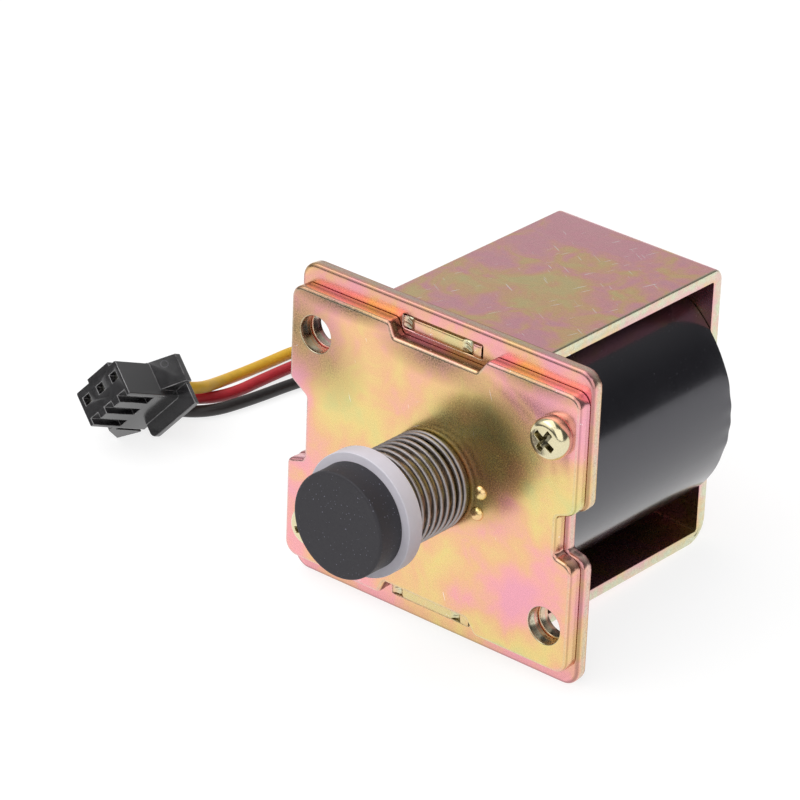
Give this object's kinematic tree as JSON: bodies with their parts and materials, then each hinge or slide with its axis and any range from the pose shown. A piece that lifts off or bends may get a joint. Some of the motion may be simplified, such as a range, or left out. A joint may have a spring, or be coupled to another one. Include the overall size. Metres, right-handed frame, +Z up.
{
  "type": "gas solenoid valve",
  "caption": "Solenoid head for a gas valve: yoke and taped coil behind a two-layer mounting plate, with a spring-loaded rubber disc in front and leads to a latching connector.",
  "frame": {"origin": "on the plunger's axis at the front face of the front plate, which is the centre of the mounting hole circle", "axes": "+X to the right seen from the front, +Y back along the coil, +Z up"},
  "size_m": [0.0814, 0.0631, 0.039],
  "materials": {
    "plate_zinc": "yellow chromate on zinc plated steel",
    "yoke_zinc": "yellow chromate on zinc plated steel",
    "screw_zinc": "bright yellow chromate on zinc plated steel",
    "coil_tape": "glossy black polyester tape",
    "bobbin_nylon": "moulded, slightly rough",
    "winding_wire": "enamelled copper wire, wound in layers",
    "separator_film": "thin yellow film",
    "tube_brass": "drawn, bright",
    "ring_rubber": "smooth",
    "core_steel": "turned and nickel plated",
    "plunger_steel": "ground and bright plated",
    "holder_nylon": "white moulding",
    "disc_rubber": "matte nitrile rubber",
    "spring_steel": "drawn wire, dull",
    "sleeve_vinyl": "black woven sleeve",
    "yellow_vinyl": "satin vinyl insulation",
    "red_vinyl": "satin vinyl insulation",
    "black_vinyl": "satin vinyl insulation",
    "connector_plastic": "dark moulded nylon",
    "terminal_tin": "tinned strip"
  },
  "bodies": {
    "root": {"front_plate": "plate_zinc", "back_plate": "plate_zinc", "yoke": "yoke_zinc", "bobbin": "bobbin_nylon", "pull_in_winding": "winding_wire", "winding_separator": "separator_film", "hold_winding": "winding_wire", "tape_wrap": "coil_tape", "guide_tube": "tube_brass", "tube_seal": "ring_rubber", "fixed_core": "core_steel", "core_seal": "ring_rubber", "return_spring": "spring_steel", "cover_screws": "screw_zinc", "lead_exit_sleeve": "sleeve_vinyl", "lead_yellow": "yellow_vinyl", "lead_red": "red_vinyl", "lead_black": "black_vinyl", "connector_housing": "connector_plastic", "connector_terminals": "terminal_tin"},
    "plunger_group": {"plunger": "plunger_steel", "disc_holder": "holder_nylon", "seal_disc": "disc_rubber"},
    "latch_lever": {"connector_latch": "connector_plastic"}
  },
  "joints": [
    {"name": "plunger_slide", "type": "slide", "parent": "root", "child": "plunger_group", "axis": [0, 1, 0], "range_m": [0, 0.004], "stiffness_N_per_m": 55, "deforming": ["return_spring"]},
    {"name": "latch_press", "type": "hinge", "parent": "root", "child": "latch_lever", "pos_m": [-0.05772, 0.00864, -0.01571], "axis": [0.7811, -0.272, -0.5621], "range_deg": [0, 4], "stiffness_Nm_per_rad": 0.02}
  ]
}
